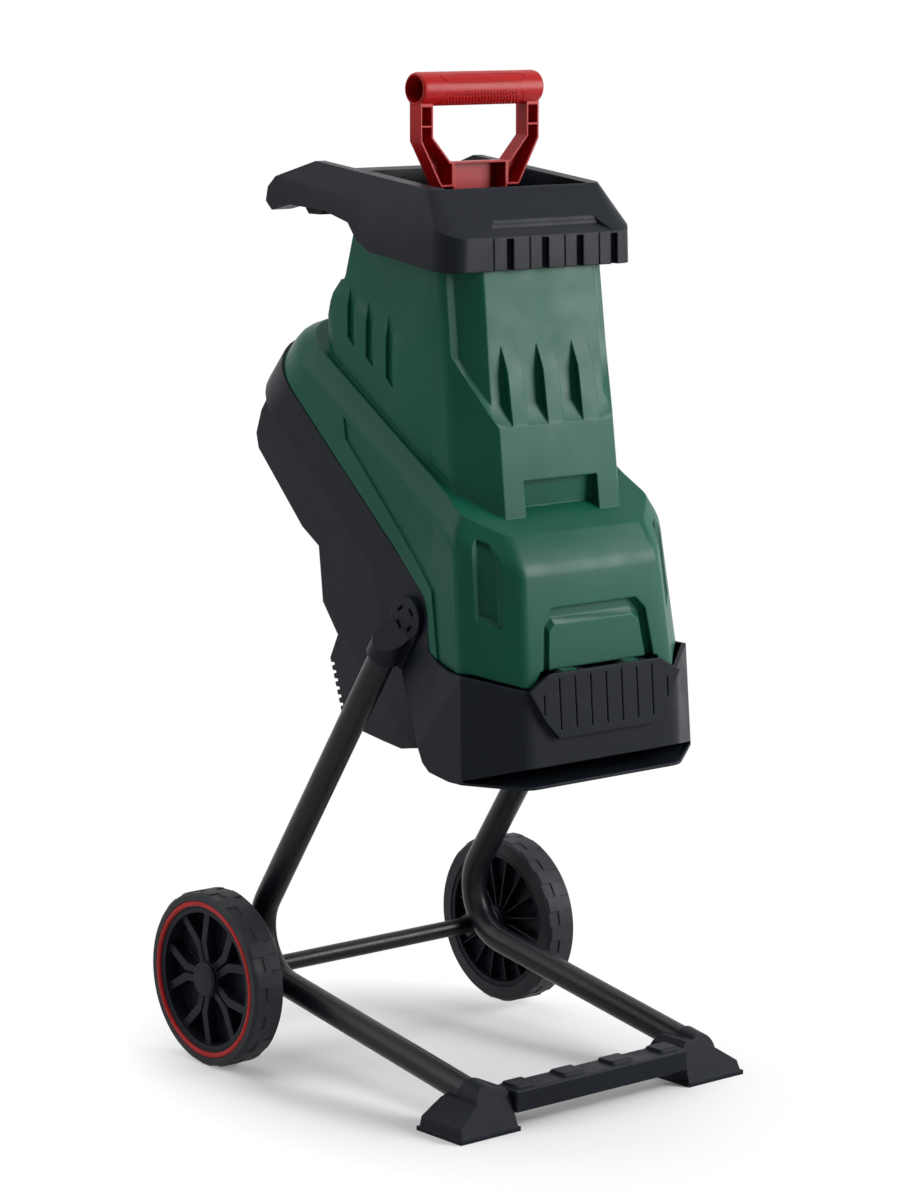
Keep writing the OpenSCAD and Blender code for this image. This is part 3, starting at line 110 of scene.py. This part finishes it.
# Moulded lines on the grip: corners as metres along it and degrees round it
BEAD_HALF_W = 0.00045
BEAD_FOOT = -0.0002
BEAD_RISE = 0.00032
BEAD_STEP = 6.0  # degrees
UPPER_PANEL = [(-0.042, 21.0), (0.042, 21.0), (0.048, 32.0), (0.048, 46.0), (0.042, 55.0), (-0.042, 55.0),
               (-0.049, 46.0)]
DOT_BORDER = [(-0.051, -80.0), (0.051, -80.0), (0.047, -30.0), (0.043, -10.5), (-0.043, -10.5), (-0.047, -30.0)]


class Shader:
    """A node material with a Principled shader and short calls for the nodes used here."""

    def __init__(self, name):
        self.material = bpy.data.materials.new(name)
        self.material.use_nodes = True
        self.tree = self.material.node_tree
        self.principled = self.tree.nodes["Principled BSDF"]
        self.coords = self.add("ShaderNodeTexCoord").outputs["Object"]

    def add(self, kind, **values):
        node = self.tree.nodes.new(kind)
        for key, value in values.items():
            setattr(node, key, value)
        return node

    def link(self, source, target):
        self.tree.links.new(source, target)

    def put(self, socket, value):
        """Links an output, or sets a constant, on a socket."""
        if isinstance(value, bpy.types.NodeSocket):
            self.link(value, socket)
        else:
            socket.default_value = value

    def set(self, socket, value):
        self.put(self.principled.inputs[socket], value)

    def noise(self, scale, detail=3.0, roughness=0.5, coords=None):
        node = self.add("ShaderNodeTexNoise")
        self.link(coords or self.coords, node.inputs["Vector"])
        node.inputs["Scale"].default_value = scale
        node.inputs["Detail"].default_value = detail
        node.inputs["Roughness"].default_value = roughness
        return node.outputs["Fac"]

    def stretched(self, scale_xyz):
        node = self.add("ShaderNodeMapping")
        self.link(self.coords, node.inputs["Vector"])
        node.inputs["Scale"].default_value = scale_xyz
        return node.outputs["Vector"]

    def ranged(self, value, low, high, start=0.3, stop=0.7):
        node = self.add("ShaderNodeMapRange")
        self.link(value, node.inputs["Value"])
        node.inputs["From Min"].default_value = start
        node.inputs["From Max"].default_value = stop
        node.inputs["To Min"].default_value = low
        node.inputs["To Max"].default_value = high
        return node.outputs["Result"]

    def math(self, operation, a, b=0.0):
        node = self.add("ShaderNodeMath", operation=operation)
        self.put(node.inputs[0], a)
        self.put(node.inputs[1], b)
        return node.outputs[0]

    def mixed(self, factor, a, b):
        node = self.add("ShaderNodeMix", data_type="RGBA")
        self.put(node.inputs[0], factor)
        self.put(node.inputs[6], a)
        self.put(node.inputs[7], b)
        return node.outputs[2]

    def bump(self, height, strength, distance, below=None):
        node = self.add("ShaderNodeBump")
        self.link(height, node.inputs["Height"])
        node.inputs["Strength"].default_value = strength
        node.inputs["Distance"].default_value = distance
        if below is not None:
            self.link(below, node.inputs["Normal"])
        return node.outputs["Normal"]

    def rounded(self, radius):
        """Normal of the surface with its edges rounded off."""
        node = self.add("ShaderNodeBevel", samples=4)
        node.inputs["Radius"].default_value = radius
        return node.outputs["Normal"]

    def edge(self, rounded_normal):
        """1 on an edge, 0 on a flat face."""
        flat = self.add("ShaderNodeNewGeometry").outputs["Normal"]
        dot = self.add("ShaderNodeVectorMath", operation="DOT_PRODUCT")
        self.link(rounded_normal, dot.inputs[0])
        self.link(flat, dot.inputs[1])
        return self.ranged(dot.outputs["Value"], 1.0, 0.0, 0.80, 0.995)


def shade(colour, factor):
    return tuple(min(1.0, c * factor) for c in colour) + (1.0,)


def moulded(name, colour, roughness, grain=1500.0, grain_strength=0.12, specular=0.11, radius=0.0018):
    """Injection-moulded plastic: spark-eroded grain, faint flow clouds, rubbed patches, and a painted highlight
    along the edges, which are also made a little smoother as if worn.
    """
    s = Shader(name)
    soft = s.rounded(radius)
    # Painted highlight: the edge mask, broken up by noise, lightens the colour where light would catch the rounded
    # edges; it also lowers the roughness there, as wear would.
    edge_highlight_and_wear = s.math("MULTIPLY", s.edge(soft), s.ranged(s.noise(70.0, 4.0), 0.25, 0.9))
    clouds = s.ranged(s.noise(9.0, 4.0), 0.0, 1.0)
    body = s.mixed(clouds, shade(colour, 0.90), shade(colour, 1.10))
    # Base colour with the painted edge highlight mixed in.
    s.set("Base Color", s.mixed(edge_highlight_and_wear, body, shade(colour, 1.9)))
    uneven = s.ranged(s.noise(38.0, 5.0), roughness - 0.05, roughness + 0.06)
    s.set("Roughness", s.math("SUBTRACT", uneven, s.math("MULTIPLY", edge_highlight_and_wear, 0.10)))
    s.set("Specular IOR Level", specular)
    s.set("Normal", s.bump(s.noise(grain, 2.0), grain_strength, 0.0003, below=soft))
    return s


def powder_coat(name, colour, roughness):
    """Powder-coated tube: orange peel under a satin coat."""
    s = Shader(name)
    peel = s.noise(420.0, 2.0)
    s.set("Base Color", s.mixed(s.ranged(s.noise(14.0), 0.0, 1.0), shade(colour, 0.88), shade(colour, 1.15)))
    s.set("Roughness", s.ranged(s.noise(60.0, 4.0), roughness - 0.04, roughness + 0.05))
    s.set("Specular IOR Level", 0.19)
    s.set("Normal", s.bump(peel, 0.10, 0.0006))
    return s


def rubber(name, colour):
    """Tyre: fine pitted skin with dust in the hollows."""
    s = Shader(name)
    dust = s.ranged(s.noise(26.0, 6.0, 0.6), 0.0, 1.0, 0.45, 0.75)
    s.set("Base Color", s.mixed(dust, shade(colour, 0.95), shade(colour, 1.35)))
    s.set("Roughness", s.ranged(s.noise(80.0, 4.0), 0.52, 0.66))
    s.set("Specular IOR Level", 0.2)
    s.set("Normal", s.bump(s.noise(700.0, 3.0), 0.16, 0.0004, below=s.rounded(0.0012)))
    return s


def brushed(name, colour, roughness, stretch=(40.0, 900.0, 900.0), metallic=1.0):
    """Machined or plated metal: fine lines one way, with slightly uneven polish."""
    s = Shader(name)
    lines = s.noise(1.0, 4.0, 0.6, s.stretched(stretch))
    s.set("Base Color", s.mixed(s.ranged(lines, 0.0, 1.0), shade(colour, 0.86), shade(colour, 1.08)))
    s.set("Metallic", metallic)
    s.set("Roughness", s.ranged(s.noise(30.0, 4.0), roughness - 0.06, roughness + 0.08))
    s.set("Normal", s.bump(lines, 0.08, 0.0002))
    return s


def wound(name, colour):
    """Copper windings: turns of enamelled wire."""
    s = Shader(name)
    wave = s.add("ShaderNodeTexWave")
    s.link(s.coords, wave.inputs["Vector"])
    wave.inputs["Scale"].default_value = 320.0
    wave.inputs["Distortion"].default_value = 1.5
    turns = wave.outputs["Fac"]
    s.set("Base Color", s.mixed(turns, shade(colour, 0.45), shade(colour, 1.1)))
    s.set("Metallic", 0.85)
    s.set("Roughness", s.ranged(s.noise(60.0), 0.3, 0.42))
    s.set("Normal", s.bump(turns, 0.5, 0.0006))
    return s


def smooth_group():
    """Geometry nodes that shade the faces smooth, apart from edges sharper than SMOOTH_ANGLE."""
    group = bpy.data.node_groups.new("smooth by angle", "GeometryNodeTree")
    group.interface.new_socket("Geometry", in_out="INPUT", socket_type="NodeSocketGeometry")
    group.interface.new_socket("Geometry", in_out="OUTPUT", socket_type="NodeSocketGeometry")
    source = group.nodes.new("NodeGroupInput").outputs[0]
    weld = group.nodes.new("GeometryNodeMergeByDistance")
    weld.inputs["Distance"].default_value = WELD_DISTANCE
    bare = group.nodes.new("GeometryNodeRemoveAttribute")
    bare.inputs["Name"].default_value = "custom_normal"
    faces = group.nodes.new("GeometryNodeSetShadeSmooth")
    faces.domain = "FACE"
    edges = group.nodes.new("GeometryNodeSetShadeSmooth")
    edges.domain = "EDGE"
    angle = group.nodes.new("GeometryNodeInputMeshEdgeAngle")
    blunt = group.nodes.new("FunctionNodeCompare")
    blunt.data_type = "FLOAT"
    blunt.operation = "LESS_THAN"
    blunt.inputs["B"].default_value = SMOOTH_ANGLE
    target = group.nodes.new("NodeGroupOutput")
    group.links.new(source, weld.inputs["Geometry"])
    group.links.new(weld.outputs["Geometry"], bare.inputs["Geometry"])
    group.links.new(bare.outputs["Geometry"], faces.inputs["Geometry"])
    group.links.new(faces.outputs["Geometry"], edges.inputs["Geometry"])
    group.links.new(angle.outputs["Unsigned Angle"], blunt.inputs["A"])
    group.links.new(blunt.outputs["Result"], edges.inputs["Shade Smooth"])
    group.links.new(edges.outputs["Geometry"], target.inputs[0])
    return group


def smoothed(obj):
    obj.modifiers.new("smoothing", "NODES").node_group = SMOOTHING


def soften(obj, width):
    """Rounds the sharp edges of a CAD node without touching its mesh."""
    bevel = obj.modifiers.new("rounding", "BEVEL")
    bevel.width = width
    bevel.segments = 2
    bevel.limit_method = "ANGLE"
    bevel.angle_limit = EDGE_ANGLE
    bevel.use_clamp_overlap = True


def flattened(obj):
    """Keeps large faces flat beside their rounded edges."""
    weighted = obj.modifiers.new("flat faces", "WEIGHTED_NORMAL")
    weighted.mode = "FACE_AREA_WITH_ANGLE"
    weighted.weight = 100
    weighted.keep_sharp = True


def dress_nodes():
    """Gives every CAD node the material of its slot, and its edges their rounding."""
    for name, obj in nodes.items():
        obj.data.materials.clear()
        obj.data.materials.append(materials[slot_of[name]].material)
        smoothed(obj)
        if name in ROUNDING:
            soften(obj, ROUNDING[name])
        flattened(obj)


def on_grip(along, around, height):
    """Point over the pusher's grip: metres along it and round it from its front, and the height off it."""
    angle = around / GRIP_R
    reach = GRIP_R + height
    return Vector((along, GRIP_Y - reach * math.cos(angle), GRIP_Z + reach * math.sin(angle)))


def grip_piece(name, points, faces):
    """Makes a piece of red plastic that moves with the pusher."""
    mesh = bpy.data.meshes.new(name)
    mesh.from_pydata(points, [], faces)
    mesh.materials.append(materials["red_plastic"].material)
    piece = bpy.data.objects.new(name, mesh)
    bpy.context.scene.collection.objects.link(piece)
    smoothed(piece)
    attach(piece, "feed_pusher")


def dot(along, around, points, faces):
    """Adds one low closed dome."""
    start = len(points)
    for share, height in DOT_RINGS:
        for k in range(DOT_SIDES):
            turn = 2.0 * math.pi * k / DOT_SIDES
            points.append(on_grip(along + DOT_R * share * math.cos(turn),
                                  around + DOT_R * share * math.sin(turn), height))
    points.append(on_grip(along, around, DOT_PEAK))
    upper = start + DOT_SIDES
    top = start + 2 * DOT_SIDES
    for k in range(DOT_SIDES):
        n = (k + 1) % DOT_SIDES
        faces.append((start + k, start + n, upper + n, upper + k))
        faces.append((upper + k, upper + n, top))
    faces.append(tuple(start + k for k in reversed(range(DOT_SIDES))))


def grip_dots():
    """Raised dots in staggered rows along the lower front of the grip."""
    points, faces = [], []
    for row in range(DOT_ROWS):
        around = DOT_FIRST_ROW - row * DOT_ROW_PITCH
        half_l = DOT_ROW_HALF + row * DOT_ROW_GROWTH
        columns = math.ceil(half_l / DOT_PITCH) + 1
        for column in range(-columns, columns + 1):
            along = (column + 0.5 * (row % 2)) * DOT_PITCH
            if abs(along) <= half_l:
                dot(along, around, points, faces)
    grip_piece("grip_dots", points, faces)


def bead(corners, points, faces):
    """Adds a thin raised line round a closed run of corners."""
    run = []
    for (x0, a0), (x1, a1) in zip(corners, corners[1:] + corners[:1]):
        steps = max(1, round(abs(a1 - a0) / BEAD_STEP))
        for k in range(steps):
            share = k / steps
            run.append(Vector((x0 + (x1 - x0) * share, math.radians(a0 + (a1 - a0) * share) * GRIP_R)))
    start, count = len(points), len(run)
    for k, here in enumerate(run):
        before = (here - run[k - 1]).normalized()
        after = (run[(k + 1) % count] - here).normalized()
        way = (before + after).normalized()
        side = Vector((-way.y, way.x)) * BEAD_HALF_W / max(0.5, way.dot(after))
        for share, height in ((-1.0, BEAD_FOOT), (-0.4, BEAD_RISE), (0.4, BEAD_RISE), (1.0, BEAD_FOOT)):
            points.append(on_grip(here.x + side.x * share, here.y + side.y * share, height))
    for k in range(count):
        a, b = start + 4 * k, start + 4 * ((k + 1) % count)
        for c in range(4):
            n = (c + 1) % 4
            faces.append((a + c, b + c, b + n, a + n))


def grip_lines():
    """Moulded lines of the grip: the panel on its upper front and the border of the dots."""
    points, faces = [], []
    bead(UPPER_PANEL, points, faces)
    bead(DOT_BORDER, points, faces)
    grip_piece("grip_lines", points, faces)


def photo_camera():
    """Camera at the photograph's angle."""
    azimuth, pitch = math.radians(CAMERA_AZIMUTH), math.radians(CAMERA_PITCH)
    towards = Vector((math.sin(azimuth) * math.cos(pitch), -math.cos(azimuth) * math.cos(pitch), math.sin(pitch)))
    data = bpy.data.cameras.new("camera")
    data.lens = CAMERA_LENS
    data.sensor_width = SENSOR
    data.sensor_fit = "AUTO"
    data.clip_end = 100.0
    camera = bpy.data.objects.new("camera", data)
    camera.location = CAMERA_AT
    camera.rotation_euler = towards.to_track_quat("Z", "Y").to_euler()
    bpy.context.scene.collection.objects.link(camera)
    bpy.context.scene.camera = camera


def softbox(name, at, size, watts):
    """A square area lamp aimed at the object."""
    data = bpy.data.lights.new(name, "AREA")
    data.shape = "SQUARE"
    data.size = size
    data.energy = watts
    lamp = bpy.data.objects.new(name, data)
    lamp.location = at
    lamp.rotation_euler = (Vector(at) - LAMP_AIM).to_track_quat("Z", "Y").to_euler()
    bpy.context.scene.collection.objects.link(lamp)


def seen_directly(tree):
    """1 for camera, glossy and transmission rays, 0 for the rest."""
    path = tree.nodes.new("ShaderNodeLightPath").outputs
    seen = path["Is Camera Ray"]
    for ray in ("Is Glossy Ray", "Is Transmission Ray"):
        either = tree.nodes.new("ShaderNodeMath")
        either.operation = "MAXIMUM"
        tree.links.new(seen, either.inputs[0])
        tree.links.new(path[ray], either.inputs[1])
        seen = either.outputs[0]
    return seen


def lit_background():
    """White where the camera or a reflection looks, and a plain grey light for everything else."""
    world = bpy.data.worlds.new("studio")
    world.use_nodes = True
    bpy.context.scene.world = world
    tree = world.node_tree
    background = tree.nodes["Background"]
    background.inputs["Color"].default_value = WHITE
    strength = tree.nodes.new("ShaderNodeMapRange")
    tree.links.new(seen_directly(tree), strength.inputs["Value"])
    strength.inputs["To Min"].default_value = AMBIENT
    strength.inputs["To Max"].default_value = 1.0
    tree.links.new(strength.outputs["Result"], background.inputs["Strength"])


def pale_floor():
    """Large pale floor: keeps the soft shadow, and is lifted to the background's white for the camera."""
    corners = [(-FLOOR_HALF, -FLOOR_HALF, 0), (FLOOR_HALF, -FLOOR_HALF, 0),
               (FLOOR_HALF, FLOOR_HALF, 0), (-FLOOR_HALF, FLOOR_HALF, 0)]
    mesh = bpy.data.meshes.new("floor")
    mesh.from_pydata(corners, [], [(0, 1, 2, 3)])
    floor = bpy.data.objects.new("floor", mesh)
    bpy.context.scene.collection.objects.link(floor)
    s = Shader("pale floor")
    s.set("Base Color", s.mixed(s.ranged(s.noise(2.0), 0.0, 1.0), shade(PALE_FLOOR, 0.995), shade(PALE_FLOOR, 1.0)))
    s.set("Roughness", 0.9)
    s.set("Specular IOR Level", 0.1)
    glow = s.add("ShaderNodeEmission")
    glow.inputs["Color"].default_value = WHITE
    away = s.add("ShaderNodeVectorMath", operation="DISTANCE")
    s.link(s.stretched((1.0 / SHADOW_REACH[0], 1.0 / SHADOW_REACH[1], 1.0)), away.inputs[0])
    away.inputs[1].default_value = (SHADOW_CENTRE[0] / SHADOW_REACH[0], SHADOW_CENTRE[1] / SHADOW_REACH[1], 0.0)
    lift = s.ranged(away.outputs["Value"], SHADOW_LIFT, 1.0, *SHADOW_EDGE)
    mix = s.add("ShaderNodeMixShader")
    s.link(s.math("MULTIPLY", seen_directly(s.tree), lift), mix.inputs[0])
    s.link(s.principled.outputs[0], mix.inputs[1])
    s.link(glow.outputs[0], mix.inputs[2])
    s.link(mix.outputs[0], s.tree.nodes["Material Output"].inputs["Surface"])
    mesh.materials.append(s.material)


materials = {
    "black_plastic": moulded("black moulded plastic", BLACK, 0.44),
    "green_plastic": moulded("green moulded plastic", GREEN, 0.37, grain_strength=0.07, specular=0.135,
                             radius=0.0020),
    "red_plastic": moulded("red moulded plastic", RED, 0.36, grain=1700.0, grain_strength=0.10, specular=0.17,
                           radius=0.0014),
    "black_tube": powder_coat("black powder coat", TUBE_BLACK, 0.34),
    "tyre": rubber("black tyre", TYRE_BLACK),
    "green_button": moulded("green button plastic", (0.03, 0.25, 0.08), 0.36),
    "grey_plastic": moulded("grey plastic", (0.05, 0.052, 0.056), 0.5),
    "yellow_film": moulded("capacitor film", (0.55, 0.45, 0.08), 0.35),
    "steel": brushed("zinc-plated steel", STEEL, 0.58),
    "gear_steel": brushed("ground steel", (0.22, 0.225, 0.24), 0.56),
    "core_steel": brushed("laminated core", (0.22, 0.225, 0.24), 0.45, stretch=(900.0, 40.0, 900.0)),
    "copper": wound("copper wire", (0.48, 0.20, 0.09)),
    "cast_alloy": brushed("cast alloy", (0.28, 0.285, 0.30), 0.5, stretch=(300.0, 300.0, 300.0)),
    "brown_plastic": moulded("brown plastic", (0.09, 0.05, 0.025), 0.5),
    "carbon": moulded("carbon", (0.02, 0.02, 0.022), 0.6),
}
SMOOTHING = smooth_group()

dress_nodes()
grip_dots()
grip_lines()
photo_camera()
for lamp_name, place, side, power in LAMPS:
    softbox(lamp_name, place, side, power)
lit_background()
pale_floor()
bpy.context.scene.view_settings.view_transform = "Standard"
